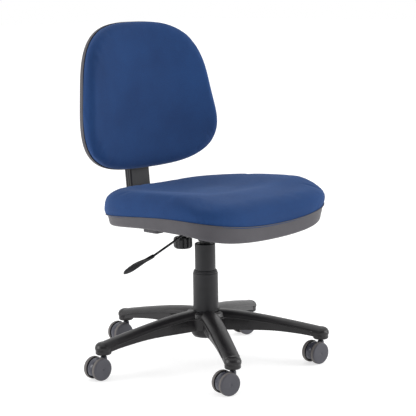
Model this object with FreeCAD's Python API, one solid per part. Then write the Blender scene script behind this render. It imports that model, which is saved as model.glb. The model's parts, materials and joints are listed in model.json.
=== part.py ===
import FreeCAD, Part
import math
import os

# Swivel office chair, in millimetres.
# Origin: on the floor, on the axis of the gas column.  +Z is up and the sitter faces -Y.
# The castors are drawn from the floor.  Every other piece is drawn from a datum plane below the floor
# and lowered by DATUM_DEPTH when it is written.

V = FreeCAD.Vector
UP = V(0, 0, 1)

# ---------------------------------------------------------------- driving dimensions
FIT = 0.05            # radial clearance of a running fit
SEATED = 0.02         # gap round a piece that is seated or pressed in
GAP = 0.4             # gap between pieces that pass each other
DATUM_DEPTH = 13.0    # how far below the floor the drawing datum of the upper pieces lies

# five-arm base
ARM_COUNT = 5
FIRST_ARM_ANGLE = 21.15
STEM_CIRCLE = 298.0
HUB_TOP = 146.0
HUB_BOTTOM = 78.0
ARM_WIDTH_ROOT = 50.0
ARM_WIDTH_TIP = 43.0
WEB_WIDTH = 35.0
SOCKET_BOTTOM = 74.4
SOCKET_RADIUS = 20.0
ARM_WALL = 3.0

# castors
WHEEL_RADIUS = 28.5
WHEEL_TRAIL = 20.0
WHEEL_INNER = 10.9
WHEEL_OUTER = 22.5
HOOD_RADIUS = 27.2
HOOD_HALF_WIDTH = 10.2
AXLE_RADIUS = 3.0
STEM_RADIUS = 5.5
SLEEVE_RADIUS = 7.5
TRAIL_ANGLES = (173.0, 173.0, 179.0, 167.0, 175.0)
STEM_BOSS_TOP = 56.0

# gas column and its covers
TUBE_RADIUS = 25.0
TUBE_BORE = 23.0
TUBE_TOP = 246.0
CYLINDER_RADIUS = 14.0
CYLINDER_BOTTOM = 152.0
CYLINDER_TOP = 358.0
TAPER_START = 330.0
TAPER_END_RADIUS = 13.2
ROD_RADIUS = 5.0
LOWER_COVER_RADIUS = 32.6
UPPER_COVER_RADIUS = 26.8
COVER_WALL = 1.2
COVER_RING_BOTTOM = 247.5
UPPER_COVER_BOTTOM = 206.0
UPPER_COVER_TOP = 325.0

# seat
SEAT_HALF_WIDTH = 246.0
SEAT_FRONT = -255.0
SEAT_REAR = 199.0
FRONT_SQUARENESS = 4.6
REAR_SQUARENESS = 3.3
SHELL_WALL = 3.0
BOARD_THICKNESS = 11.0
ARM_BOLT_X = 200.0
ARM_BOLT_Y = -37.0
ARM_BOLT_SPACING = 30.0
ARM_BOLT_RADIUS = 3.4
SEAM_HEIGHT = 405.8
UNDERSIDE_HEIGHT = 377.0

# seat mechanism
PLATE_TOP = 374.0
PLATE_THICKNESS = 3.0
PLATE_HALF = (96.0, 100.0)
BOLT_HALF = (82.0, 86.0)
BOX_HALF_X = 50.0
BOX_FRONT = -40.0
BOX_REAR = 62.0
BOX_BOTTOM = 352.0
SOCKET_TOP = 357.0

# height lever
LEVER_PIVOT = V(-34.0, 0, 358.5)
LEVER_ROD_RADIUS = 3.0
LEVER_KNEE = V(-54.0, 0, 365.2)
PADDLE_START = V(-182.0, 0, 318.2)
PADDLE_TIP = V(-283.0, 0, 291.0)
PADDLE_WIDTH = 27.0
PADDLE_TWIST = 60.0

# back carrier and bent upright bar
TILT_PIN = V(0, 45.0, 355.0)
TILT_PIN_RADIUS = 5.0
CARRIER_REAR = 132.0
CARRIER_HALF_WIDTH = 25.0
BAR_WIDTH = 38.0
BAR_THICKNESS = 8.0
BAR_HEIGHT = 350.0
BAR_FRONT = 62.0
BAR_TOP_Z = 690.0
BEND_RADIUS = 45.0
KNOB_Y = 82.0
KNOB_RADIUS = 25.0
KNOB_BOTTOM = 301.0
KNOB_TOP = 331.0

# backrest
RAKE = 5.5
BACK_CENTRE = V(0, 259.6, 694.8)
BACK_CURVE_RADIUS = 710.0
UPRIGHT_OFFSET = 16.0
BACK_HALF_WIDTH = 220.0
BACK_HALF_HEIGHT = 192.5
BACK_TAPER = 0.153         # how much narrower the top is than the middle, as a share
BACK_FLARE = 0.055         # how much wider both ends are than a straight taper, as a share
TRIM_FRONT = -15.0         # depths through the backrest; the sitter's side is negative
TRIM_REAR = -2.0
BACK_CUSHION_FRONT = -45.0
HUMP_FRONT = -14.0
GUIDE_MIDDLE = -96.0
BACK_SCREW_RADIUS = 2.2


# ---------------------------------------------------------------- helpers
def solid_cylinder(radius, low, high, x=0.0, y=0.0):
    """An upright cylinder between two heights."""
    return Part.makeCylinder(radius, high - low, V(x, y, low))


def ring(outer, inner, low, high, x=0.0, y=0.0):
    """An upright tube between two heights."""
    return solid_cylinder(outer, low, high, x, y).cut(solid_cylinder(inner, low - 1, high + 1, x, y))


def block(low, high):
    """A box between two corners."""
    size = V(*high) - V(*low)
    return Part.makeBox(size.x, size.y, size.z, V(*low))


def revolve_profile(points):
    """A solid of revolution about Z from (radius, height) points."""
    corners = [V(radius, 0, height) for radius, height in points]
    return Part.Face(Part.makePolygon(corners + corners[:1])).revolve(V(0, 0, 0), UP, 360)


def fuse_all(shapes):
    """One solid from overlapping shapes."""
    return shapes[0].multiFuse(shapes[1:])


def turned(shape, angle, axis=UP, centre=V(0, 0, 0)):
    """A rotated copy."""
    copy = shape.copy()
    copy.rotate(centre, axis, angle)
    return copy


def moved(shape, x=0.0, y=0.0, z=0.0):
    """A shifted copy."""
    copy = shape.copy()
    copy.translate(V(x, y, z))
    return copy


def rounded(shape, radius, wanted):
    """Rounds the edges that the test picks; a smaller radius is used where the full one can't be."""
    for share in (1.0, 0.6, 0.3):
        edges = [edge for edge in shape.Edges if wanted(edge)]
        try:
            result = shape.makeFillet(radius * share, edges)
            if result.isValid() and result.Volume > 0:
                return result
        except Exception:
            continue
    print("an edge stayed sharp")
    return shape


def tube_along(points, radius, bend):
    """A round bar along straight runs joined by tangent arcs."""
    edges = []
    start = points[0]
    for before, corner, after in zip(points, points[1:], points[2:]):
        toward = (before - corner).normalize()
        away = (after - corner).normalize()
        half = toward.getAngle(away) / 2
        reach = bend / math.tan(half)
        middle = corner + (toward + away).normalize() * (bend / math.sin(half) - bend)
        enter = corner + toward * reach
        leave = corner + away * reach
        edges.append(Part.makeLine(start, enter))
        edges.append(Part.Arc(enter, middle, leave).toShape())
        start = leave
    edges.append(Part.makeLine(start, points[-1]))
    direction = (points[1] - points[0]).normalize()
    section = Part.Wire(Part.makeCircle(radius, points[0], direction))
    return Part.Wire(edges).makePipeShell([section], True, True)


def closed_curve(points):
    """A smooth closed wire through the points."""
    curve = Part.BSplineCurve()
    curve.interpolate(points, PeriodicFlag=True)
    return Part.Wire(curve.toShape())


def ease(value):
    """Runs smoothly from 0 to 1."""
    value = min(1.0, max(0.0, value))
    return value * value * (3 - 2 * value)


def surface_above(height, half_x, y_low, y_high, reach):
    """Everything within reach above a height function of x and y."""
    steps = 18
    grid = []
    for i in range(steps + 1):
        x = -half_x + 2 * half_x * i / steps
        row = []
        for j in range(steps + 1):
            y = y_low + (y_high - y_low) * j / steps
            row.append(V(x, y, height(x, y)))
        grid.append(row)
    surface = Part.BSplineSurface()
    surface.interpolate(grid)
    return surface.toShape().extrude(V(0, 0, reach))


# ---------------------------------------------------------------- base
def base_star():
    """Moulded five-arm base: crowned arm caps over hollow, ribbed webs, and a hub."""
    arm = fuse_all([arm_cap(), arm_web()])
    star = fuse_all([turned(arm, FIRST_ARM_ANGLE + 72 * k) for k in range(ARM_COUNT)] + [hub_block()])
    star = star.cut(solid_cylinder(TUBE_RADIUS + 3, HUB_BOTTOM - 1, HUB_TOP + 20))
    star = star.cut(solid_cylinder(LOWER_COVER_RADIUS + 2.8, HUB_TOP, HUB_TOP + 20))
    for k in range(ARM_COUNT):
        x, y = stem_place(k)
        star = star.cut(solid_cylinder(SLEEVE_RADIUS, SOCKET_BOTTOM - 1, SOCKET_BOTTOM + 24, x, y))
    return star


def stem_place(k):
    """Where arm k holds its castor."""
    angle = math.radians(FIRST_ARM_ANGLE + 72 * k)
    return STEM_CIRCLE * math.cos(angle), STEM_CIRCLE * math.sin(angle)


def arm_section(r, width, top, bottom):
    """Crowned section of an arm cap at distance r from the column."""
    half = width / 2
    shoulder = bottom + 0.45 * (top - bottom)
    low_left = V(r, -half, bottom)
    low_right = V(r, half, bottom)
    left = V(r, -half + 1.5, shoulder)
    right = V(r, half - 1.5, shoulder)
    crown = Part.BSplineCurve()
    flank = 0.62 * half
    crown.interpolate([left, V(r, -flank, top - 3.2), V(r, 0, top), V(r, flank, top - 3.2), right])
    edges = [
        Part.makeLine(low_left, left),
        crown.toShape(),
        Part.makeLine(right, low_right),
        Part.makeLine(low_right, low_left),
    ]
    return Part.Wire(edges)


def arm_cap():
    """The wide, crowned top of one arm, falling from the hub to a rounded end."""
    sections = [
        arm_section(20, ARM_WIDTH_ROOT, 151, 134),
        arm_section(80, ARM_WIDTH_ROOT - 1, 147, 131),
        arm_section(160, ARM_WIDTH_ROOT - 4, 134.5, 120),
        arm_section(240, ARM_WIDTH_TIP, 118.5, 103.5),
        arm_section(STEM_CIRCLE, ARM_WIDTH_TIP, 105.5, 90.0),
    ]
    cap = Part.makeLoft(sections, True, False)
    tip = moved(tip_dome(), STEM_CIRCLE)
    return fuse_all([cap, tip])


def tip_dome():
    """The rounded end of an arm over the castor socket."""
    half = ARM_WIDTH_TIP / 2
    return revolve_profile([
        (0, 84), (half - 1.5, 84), (half, 88), (half, 93), (half - 2.5, 98.5), (half - 7, 102.5),
        (half - 13, 104.8), (0, 105.5)
    ])


def arm_web():
    """The narrower web under an arm cap, open underneath and stiffened by cross ribs."""
    outline = [
        V(20, 0, 100), V(60, 0, 98.5), V(120, 0, 98.5), V(180, 0, 97), V(230, 0, 91.5), V(262, 0, 86.5),
        V(290, 0, 80)
    ]
    under = Part.BSplineCurve()
    under.interpolate(outline)
    top = [V(290, 0, 96), V(240, 0, 107), V(160, 0, 124), V(80, 0, 135), V(20, 0, 138)]
    corners = [outline[-1]] + top + [outline[0]]
    edges = [under.toShape()] + [Part.makeLine(a, b) for a, b in zip(corners, corners[1:])]
    half = WEB_WIDTH / 2
    side = Part.Face(Part.Wire(edges))
    web = moved(side.extrude(V(0, WEB_WIDTH, 0)), 0, -half)
    pocket_side = [
        V(275, 0, 96), V(240, 0, 103), V(160, 0, 120), V(80, 0, 131), V(52, 0, 133), V(52, 0, 70),
        V(275, 0, 70), V(275, 0, 96)
    ]
    inside = WEB_WIDTH - 2 * ARM_WALL
    pocket = Part.Face(Part.makePolygon(pocket_side)).extrude(V(0, inside, 0))
    pocket = moved(pocket, 0, -inside / 2)
    for r in (96, 142, 188, 234):
        pocket = pocket.cut(block((r - 1.5, -half, 60), (r + 1.5, half, 140)))
    socket = moved(revolve_profile([
        (0, SOCKET_BOTTOM), (SOCKET_RADIUS - 2, SOCKET_BOTTOM), (SOCKET_RADIUS, SOCKET_BOTTOM + 2),
        (SOCKET_RADIUS, 90), (0, 90)
    ]), STEM_CIRCLE)
    return fuse_all([web.cut(pocket), socket])


def hub_block():
    """The round hub that the arms grow out of."""
    return revolve_profile([
        (0, HUB_BOTTOM + 2), (34, HUB_BOTTOM + 2), (38, HUB_BOTTOM + 8), (38, 96), (44, 100), (52, 128),
        (54, 136), (50, 144), (42, HUB_TOP + 1.5), (36, HUB_TOP), (0, HUB_TOP)
    ])


def hub_sleeve():
    """Steel sleeve moulded into the hub, which the column is pressed into."""
    return ring(TUBE_RADIUS + 3 - SEATED, TUBE_RADIUS + SEATED, HUB_BOTTOM, HUB_TOP - 2)


def castor_sleeves():
    """Stem sockets, one in each arm."""
    sleeves = []
    for k in range(ARM_COUNT):
        x, y = stem_place(k)
        outer = SLEEVE_RADIUS - SEATED
        body = solid_cylinder(outer, SOCKET_BOTTOM - 0.4, SOCKET_BOTTOM + 23.5, x, y)
        bore = solid_cylinder(STEM_RADIUS + FIT, SOCKET_BOTTOM - 1, SOCKET_BOTTOM + 22, x, y)
        sleeves.append(body.cut(bore))
    return Part.makeCompound(sleeves)


def column_tube():
    """Outer tube of the gas column with its closed foot."""
    tube = ring(TUBE_RADIUS, TUBE_BORE, HUB_BOTTOM + 0.5, TUBE_TOP)
    foot = ring(TUBE_BORE, ROD_RADIUS + FIT, HUB_BOTTOM + 0.5, HUB_BOTTOM + 4.5)
    return fuse_all([tube, foot])


def guide_bush():
    """Plastic bush at the top of the column tube that the gas cylinder slides in."""
    return ring(TUBE_BORE - SEATED, CYLINDER_RADIUS + FIT, TUBE_TOP - 72, TUBE_TOP)


def lower_cover():
    """Fixed lower cover round the column, slightly wider at its foot."""
    outer = LOWER_COVER_RADIUS
    low = HUB_TOP + 0.1
    high = COVER_RING_BOTTOM
    return revolve_profile([
        (outer + 1.6, low), (outer + 1.6, low + 2.5), (outer + 0.4, low + 3.9), (outer, high - 1.2),
        (outer - 1.0, high), (outer - 1.6, high), (outer - 1.6, low)
    ])


def cover_ring():
    """Stepped ring in the mouth of the lower cover, which guides the upper cover."""
    bore = UPPER_COVER_RADIUS + GAP
    neck = LOWER_COVER_RADIUS - 1.7
    low = COVER_RING_BOTTOM
    return revolve_profile([
        (bore, low - 5), (neck, low - 5), (neck, low + 0.1), (31.4, low + 0.1), (31.4, low + 3.4),
        (30.6, low + 4.0), (29.8, low + 4.0), (29.8, low + 6.2), (29.0, low + 7.1), (bore, low + 7.1)
    ])


def retaining_clip():
    """Spring clip under the column's foot that keeps the piston rod in."""
    clip = ring(11, ROD_RADIUS - 1 + SEATED, HUB_BOTTOM - 2.1, HUB_BOTTOM - 0.9)
    return clip.cut(block((0, -2, HUB_BOTTOM - 4), (20, 2, HUB_BOTTOM)))


# ---------------------------------------------------------------- turning rod inside the column
def piston_rod():
    """Piston rod with the groove that its clip snaps into."""
    foot = HUB_BOTTOM
    return revolve_profile([
        (0, foot - 4), (4.2, foot - 4), (ROD_RADIUS, foot - 3.2), (ROD_RADIUS, foot - 2.2), (4, foot - 2.2),
        (4, foot - 0.8), (ROD_RADIUS, foot - 0.8), (ROD_RADIUS, 216), (3.5, 216), (3.5, 227.8), (0, 227.8)
    ])


def piston():
    """Piston on the rod's upper end, inside the gas cylinder."""
    return ring(12.4, 3.5 + SEATED, 216.1, 226)


def thrust_bearing():
    """Ball race that lets the column turn on its foot: two washers and a caged ring."""
    low = HUB_BOTTOM + 4.7
    bore = ROD_RADIUS + SEATED
    return fuse_all([
        ring(13, bore, low, low + 1.6),
        ring(13, bore, low + 5.2, low + 6.8),
        ring(11, 7, low + 1, low + 6),
        ring(8, bore, low + 1, low + 6),
    ])


# ---------------------------------------------------------------- gas cylinder and seat
def gas_cylinder():
    """Gas cylinder: polished tube with a seal at its foot and a taper at its top."""
    body = revolve_profile([
        (0, CYLINDER_BOTTOM), (CYLINDER_RADIUS, CYLINDER_BOTTOM), (CYLINDER_RADIUS, TAPER_START),
        (TAPER_END_RADIUS, CYLINDER_TOP), (0, CYLINDER_TOP)
    ])
    room = solid_cylinder(12.5, CYLINDER_BOTTOM + 12, TAPER_START - 12)
    seal_bore = solid_cylinder(ROD_RADIUS + FIT, CYLINDER_BOTTOM - 1, CYLINDER_BOTTOM + 13)
    pin_bore = solid_cylinder(3.0 + FIT, TAPER_START - 13, CYLINDER_TOP + 1)
    return body.cut(room).cut(seal_bore).cut(pin_bore)


def upper_cover():
    """Upper cover, which hangs from the cylinder and slides into the lower cover."""
    outer = UPPER_COVER_RADIUS
    inner = outer - COVER_WALL
    top = UPPER_COVER_TOP
    return revolve_profile([
        (inner, UPPER_COVER_BOTTOM), (outer, UPPER_COVER_BOTTOM), (outer, top - 2), (outer - 2, top),
        (CYLINDER_RADIUS + 0.2, top), (CYLINDER_RADIUS + 0.2, top - 3), (inner, top - 3)
    ])


def release_pin():
    """Valve pin on top of the gas cylinder that the lever pushes down."""
    return revolve_profile([
        (0, 324), (3.0, 324), (3.0, CYLINDER_TOP + 4.2), (2.2, CYLINDER_TOP + 5), (0, CYLINDER_TOP + 5)
    ])


def mechanism_housing():
    """Pressed steel seat mechanism: top plate, box, column socket, and lugs for its pins."""
    plate_low = PLATE_TOP - PLATE_THICKNESS
    half_x, half_y = PLATE_HALF
    plate = rounded(block((-half_x, -half_y, plate_low), (half_x, half_y, PLATE_TOP)), 14, is_upright)
    outer = block((-BOX_HALF_X, BOX_FRONT, BOX_BOTTOM), (BOX_HALF_X, BOX_REAR, plate_low + 1))
    wall = 3.0
    low = (-BOX_HALF_X + wall, BOX_FRONT + wall, BOX_BOTTOM - 1)
    inner = block(low, (BOX_HALF_X - wall, BOX_REAR + 1, plate_low))
    socket = revolve_profile([(0, 331), (17, 331), (18, 332), (18, SOCKET_TOP), (0, SOCKET_TOP)])
    tray = block((-BOX_HALF_X + 1, BOX_FRONT + 1, BOX_BOTTOM), (BOX_HALF_X - 1, 24, BOX_BOTTOM + wall))
    lugs = []
    pivot_x = LEVER_PIVOT.x
    for side in (-1, 1):
        y = side * 9.2
        lugs.append(block((pivot_x - 7, y - 1.5, BOX_BOTTOM + 1), (pivot_x + 7, y + 1.5, plate_low + 1)))
    ears = []
    for side in (-1, 1):
        x = side * (BOX_HALF_X - wall / 2)
        ear_low = (x - wall / 2, TILT_PIN.y - 9, TILT_PIN.z - 8)
        ears.append(block(ear_low, (x + wall / 2, TILT_PIN.y + 9, plate_low + 1)))
    housing = fuse_all([plate, outer.cut(inner), socket, tray] + lugs + ears)
    taper = revolve_profile([
        (0, 326), (CYLINDER_RADIUS + 0.15, 326), (CYLINDER_RADIUS + SEATED, TAPER_START),
        (TAPER_END_RADIUS + SEATED, CYLINDER_TOP), (0, CYLINDER_TOP)
    ])
    housing = housing.cut(taper)
    lever_slot = block((-BOX_HALF_X - 1, -7, BOX_BOTTOM - 1), (-BOX_HALF_X + wall + 1, 7, plate_low))
    hub_slot = block((pivot_x - 11, -7.6, BOX_BOTTOM - 1), (-19, 7.6, BOX_BOTTOM + wall + 1))
    housing = housing.cut(lever_slot).cut(hub_slot)
    housing = housing.cut(cross_cylinder(2.0 + SEATED, 14, LEVER_PIVOT))
    housing = housing.cut(long_cylinder(TILT_PIN_RADIUS + SEATED, BOX_HALF_X + 5, TILT_PIN))
    for x, y in bolt_places():
        housing = housing.cut(solid_cylinder(3.3, plate_low - 1, PLATE_TOP + 1, x, y))
    return housing


def is_upright(edge):
    """True for a straight vertical edge."""
    ends = [vertex.Point for vertex in edge.Vertexes]
    if len(ends) != 2:
        return False
    along = ends[1] - ends[0]
    return abs(along.x) < 0.01 and abs(along.y) < 0.01


def cross_cylinder(radius, half_length, centre):
    """A cylinder along Y through a centre."""
    return Part.makeCylinder(radius, 2 * half_length, centre - V(0, half_length, 0), V(0, 1, 0))


def long_cylinder(radius, half_length, centre):
    """A cylinder along X through a centre."""
    return Part.makeCylinder(radius, 2 * half_length, centre - V(half_length, 0, 0), V(1, 0, 0))


def bolt_places():
    """The four bolts between the mechanism and the seat board."""
    return [(sx * BOLT_HALF[0], sy * BOLT_HALF[1]) for sx in (-1, 1) for sy in (-1, 1)]


def superellipse(half_width, low, high, power_low, power_high, inset):
    """Points of a rounded-rectangle outline; low and high are its two ends along the second axis."""
    middle = (low + high) / 2
    points = []
    count = 48
    for i in range(count):
        angle = 2 * math.pi * i / count
        across, along = math.cos(angle), math.sin(angle)
        power = power_low if along < 0 else power_high
        a = (half_width - inset) * math.copysign(abs(across) ** (2 / power), across)
        b = ((high - low) / 2 - inset) * math.copysign(abs(along) ** (2 / power), along)
        points.append((a, middle + b))
    return points


def seat_outline(height, inset):
    """Outline of the seat in plan, squarer at the front."""
    points = superellipse(
        SEAT_HALF_WIDTH, SEAT_FRONT, SEAT_REAR, FRONT_SQUARENESS, REAR_SQUARENESS, inset
    )
    return closed_curve([V(x, y, height) for x, y in points])


def seat_prism(inset, low, high):
    """A straight block with the seat's outline."""
    return Part.Face(seat_outline(low, inset)).extrude(V(0, 0, high - low))


def seam(x, y):
    """Height of the seam between fabric and shell: it rises toward the sides, most of all at the front."""
    sag = 4.63e-4 - 3.23e-4 * ease((y + 167) / 360)
    return SEAM_HEIGHT + sag * x * x


def underside(x, y):
    """Height of the shell's underside: it rises to the sides and drops at the front lip."""
    sag = 3.77e-4 - 2.2e-4 * ease((y + 67) / 250)
    lip = 18 * ease((-y - 137) / 152)
    return UNDERSIDE_HEIGHT + sag * x * x - lip


def above(height, offset, reach=200):
    """Everything above (or, for a negative reach, below) a seat surface shifted by an offset."""
    return surface_above(lambda x, y: height(x, y) + offset, 280, SEAT_FRONT - 30, SEAT_REAR + 30, reach)


def seat_shell():
    """Outer shell under the seat, with a flat pad over the mechanism and bosses for armrests."""
    body = Part.makeLoft([seat_outline(350, 15), seat_outline(440, -1)], True, True)
    body = body.common(above(underside, 0, 120))
    inner = [seat_outline(350, 15 + SHELL_WALL), seat_outline(440, SHELL_WALL - 1)]
    cavity = Part.makeLoft(inner, True, True).common(above(underside, SHELL_WALL, 120))
    body = rounded(body, 9, lambda edge: edge.BoundBox.ZMax < 400 and edge.Length > 300)
    half_x = PLATE_HALF[0] + 4
    half_y = PLATE_HALF[1] + 4
    pad_top = UNDERSIDE_HEIGHT + SHELL_WALL + 1
    pads = [block((-half_x, -half_y, PLATE_TOP + 0.1), (half_x, half_y, pad_top))]
    for x, y in arm_bolt_places()[::2]:
        pads.append(block((x - 13, y - 10, 384), (x + 13, y + ARM_BOLT_SPACING + 10, underside(x, y) + 2)))
    shell = fuse_all([body.cut(cavity)] + [rounded(pad, 6, is_upright) for pad in pads])
    shell = shell.cut(above(seam, 0, 120))
    shell = shell.cut(seat_prism(20, 370, 440).common(above(underside, SHELL_WALL + 0.3, 100)))
    for x, y in bolt_places():
        shell = shell.cut(solid_cylinder(3.6, 360, 400, x, y))
    for x, y in arm_bolt_places():
        shell = shell.cut(solid_cylinder(4.5, 370, 410, x, y))
    return shell


def arm_bolt_places():
    """Two threaded holes on each side that an armrest bolts to."""
    places = []
    for side in (-1, 1):
        for step in (0, 1):
            places.append((side * ARM_BOLT_X, ARM_BOLT_Y + step * ARM_BOLT_SPACING))
    return places


def seat_board():
    """Moulded plywood board inside the seat."""
    low = SHELL_WALL + 0.6
    board = seat_prism(22, 355, 440).common(above(underside, low, 100))
    board = board.cut(above(underside, low + BOARD_THICKNESS, 100))
    for x, y in bolt_places():
        board = board.cut(solid_cylinder(4.5 + SEATED, 360, 420, x, y))
        board = board.cut(solid_cylinder(9.5, nut_top() - 1.5, 420, x, y))
    for x, y in arm_bolt_places():
        board = board.cut(solid_cylinder(5.2 + SEATED, 360, 420, x, y))
    return board


def nut_top():
    """Height of the tee nuts' flanges."""
    return underside(*BOLT_HALF) + SHELL_WALL + BOARD_THICKNESS - 0.8


def seat_tee_nuts():
    """Tee nuts in the board for the mechanism's bolts."""
    nuts = []
    for x, y in bolt_places():
        flange = solid_cylinder(9, nut_top() - 1.4, nut_top(), x, y)
        barrel = solid_cylinder(4.5, nut_top() - 9, nut_top(), x, y)
        nuts.append(flange.fuse(barrel).cut(solid_cylinder(3 + SEATED, 370, 410, x, y)))
    return Part.makeCompound(nuts)


def seat_bolts():
    """Hexagon bolts from the mechanism's plate up into the tee nuts."""
    bolts = []
    head_top = PLATE_TOP - PLATE_THICKNESS - 0.1
    for x, y in bolt_places():
        corners = []
        for i in range(6):
            angle = math.radians(60 * i)
            corners.append(V(x + 5.7 * math.cos(angle), y + 5.7 * math.sin(angle), head_top - 4))
        head = Part.Face(Part.makePolygon(corners + corners[:1])).extrude(V(0, 0, 4))
        bolts.append(head.fuse(solid_cylinder(3, head_top - 0.5, nut_top() - 1, x, y)).removeSplitter())
    return Part.makeCompound(bolts)


def arm_inserts():
    """Threaded inserts in the board for armrests."""
    inserts = []
    for x, y in arm_bolt_places():
        low = underside(x, y) + SHELL_WALL + 1.4
        inserts.append(ring(5.2, ARM_BOLT_RADIUS, low, low + 9, x, y))
    return Part.makeCompound(inserts)


def seat_cushion():
    """Foam and fabric of the seat: it sits in the shell and bulges a little past its edge."""
    layers = [(385, 3), (415, -4), (440, -7), (460, -2), (474, 10), (483, 28), (489, 60)]
    body = Part.makeLoft([seat_outline(height, inset) for height, inset in layers], True, False)
    body = body.cut(above(seam, 0.5, -120))
    body = body.cut(above(seat_top, 0, 120))
    core = seat_prism(26, 370, 430).common(above(underside, SHELL_WALL + BOARD_THICKNESS + 1.2, 100))
    return fuse_all([body, core.cut(above(seam, 3, 120))])


def seat_top(x, y):
    """Height that the cushion's top keeps below: it falls gently toward the rear."""
    return 493 - 20 * ease((y + 60) / 230)


# ---------------------------------------------------------------- height lever
def lever_pin():
    """Cross pin that the height lever rocks on."""
    return cross_cylinder(2.0, 12.0, LEVER_PIVOT)


def lever_rod():
    """Bent steel rod of the height lever, from over the valve pin out to the paddle."""
    inner = V(6, 0, CYLINDER_TOP + 5.4 + LEVER_ROD_RADIUS)
    outer = PADDLE_START + (PADDLE_START - LEVER_KNEE).normalize() * 12
    return tube_along([inner, LEVER_KNEE, outer], LEVER_ROD_RADIUS, 14)


def lever_hub():
    """Moulded block that joins the rod to its cross pin."""
    centre = LEVER_PIVOT
    hub = rounded(block((centre.x - 8, -6.8, 354.9), (centre.x + 8, 6.8, 370.2)), 2, lambda edge: True)
    rod = lever_rod()
    return hub.cut(rod).cut(cross_cylinder(2.0 + FIT, 12, centre))


def lever_paddle():
    """Flat plastic paddle with a socket for the rod, twisted so that its face looks forward and up."""
    along = PADDLE_TIP - PADDLE_START
    length = along.Length
    stations = [
        (0, 4.8, 4.8), (0.17, 5.0, 4.8), (0.34, 8.5, 3.4), (0.6, PADDLE_WIDTH / 2, 2.6), (0.84, 11.5, 2.3),
        (0.97, 5.5, 1.8)
    ]
    sections = []
    for share, half_wide, half_thick in stations:
        points = []
        for i in range(16):
            angle = 2 * math.pi * i / 16
            points.append(V(share * length, half_wide * math.cos(angle), half_thick * math.sin(angle)))
        sections.append(closed_curve(points))
    paddle = Part.makeLoft(sections, True, False)
    paddle = turned(paddle, PADDLE_TWIST, V(1, 0, 0))
    place = FreeCAD.Placement(PADDLE_START, FreeCAD.Rotation(V(1, 0, 0), along))
    paddle.Placement = place.multiply(paddle.Placement)
    return paddle.cut(lever_rod())


# ---------------------------------------------------------------- tilting back carrier
def tilt_pin():
    """Pin that the back carrier tilts on."""
    return long_cylinder(TILT_PIN_RADIUS, BOX_HALF_X + 3, TILT_PIN)


def tilt_springs():
    """Coil springs round the tilt pin, one on each side of the carrier."""
    springs = []
    for side in (-1, 1):
        helix = Part.makeHelix(3.4, 17, 8)
        section = Part.Wire(Part.makeCircle(1.4, V(8, 0, 0), V(0, 1, 0)))
        coil = Part.Wire(helix).makePipeShell([section], True, True)
        coil = turned(coil, 90, V(0, 1, 0))
        start = 27.0 if side > 0 else -45.0
        springs.append(moved(coil, start + 0.5, TILT_PIN.y, TILT_PIN.z))
    return Part.makeCompound(springs)


def back_carrier():
    """Channel that holds the upright bar, with ears on the tilt pin and a thread for the clamp knob."""
    half = CARRIER_HALF_WIDTH
    wall = 5.4
    low = BAR_HEIGHT - BAR_THICKNESS / 2 - GAP
    high = BAR_HEIGHT + BAR_THICKNESS / 2 + GAP
    outer = block((-half, TILT_PIN.y + 7, low - wall), (half, CARRIER_REAR, high + wall))
    slot_half = BAR_WIDTH / 2 + GAP
    slot = block((-slot_half, 0, low), (slot_half, CARRIER_REAR + 1, high))
    ears = []
    for side in (-1, 1):
        x = side * (half - 2.5)
        ear = Part.makeCylinder(8.5, 5, V(x - 2.5, TILT_PIN.y, TILT_PIN.z), V(1, 0, 0))
        strap = block((x - 2.5, TILT_PIN.y, high - 7), (x + 2.5, TILT_PIN.y + 10, TILT_PIN.z + 4.8))
        ears += [ear, strap]
    carrier = fuse_all([outer] + ears).cut(slot)
    carrier = carrier.cut(long_cylinder(TILT_PIN_RADIUS + FIT, half + 1, TILT_PIN))
    return carrier.cut(solid_cylinder(4 + FIT, low - wall - 1, low + 1, 0, KNOB_Y))


def knob_grip():
    """Fluted hand knob under the carrier."""
    wide, low, high = KNOB_RADIUS, KNOB_BOTTOM, KNOB_TOP
    grip = revolve_profile([
        (0, low), (wide - 5, low), (wide - 1.5, low + 2.5), (wide, low + 6), (wide, high - 6),
        (wide - 2, high - 1.5), (wide - 5, high), (10, high), (9, high + 7), (0, high + 7)
    ])
    reach = wide + 4.5
    for k in range(8):
        angle = math.radians(45 * k + 10)
        flute = solid_cylinder(7.5, low - 1, high + 1, reach * math.cos(angle), reach * math.sin(angle))
        grip = grip.cut(flute)
    grip = grip.cut(solid_cylinder(4 + SEATED, KNOB_BOTTOM + 8, KNOB_TOP + 8))
    return moved(grip, 0, KNOB_Y)


def knob_screw():
    """Clamp screw of the hand knob."""
    return solid_cylinder(4, KNOB_BOTTOM + 8.1, BAR_HEIGHT - BAR_THICKNESS / 2 - 0.6, 0, KNOB_Y)


# ---------------------------------------------------------------- upright bar and its cover
def upright_y(z):
    """Where the raked upright's centre line is at a height."""
    rake = math.radians(RAKE)
    return BACK_CENTRE.y + UPRIGHT_OFFSET / math.cos(rake) + (z - BACK_CENTRE.z) * math.tan(rake)


def upright_point(z, offset=0.0):
    """A point on the upright's centre line, shifted at right angles to it."""
    rake = math.radians(RAKE)
    return V(0, upright_y(z) + offset * math.cos(rake), z - offset * math.sin(rake))


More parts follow.
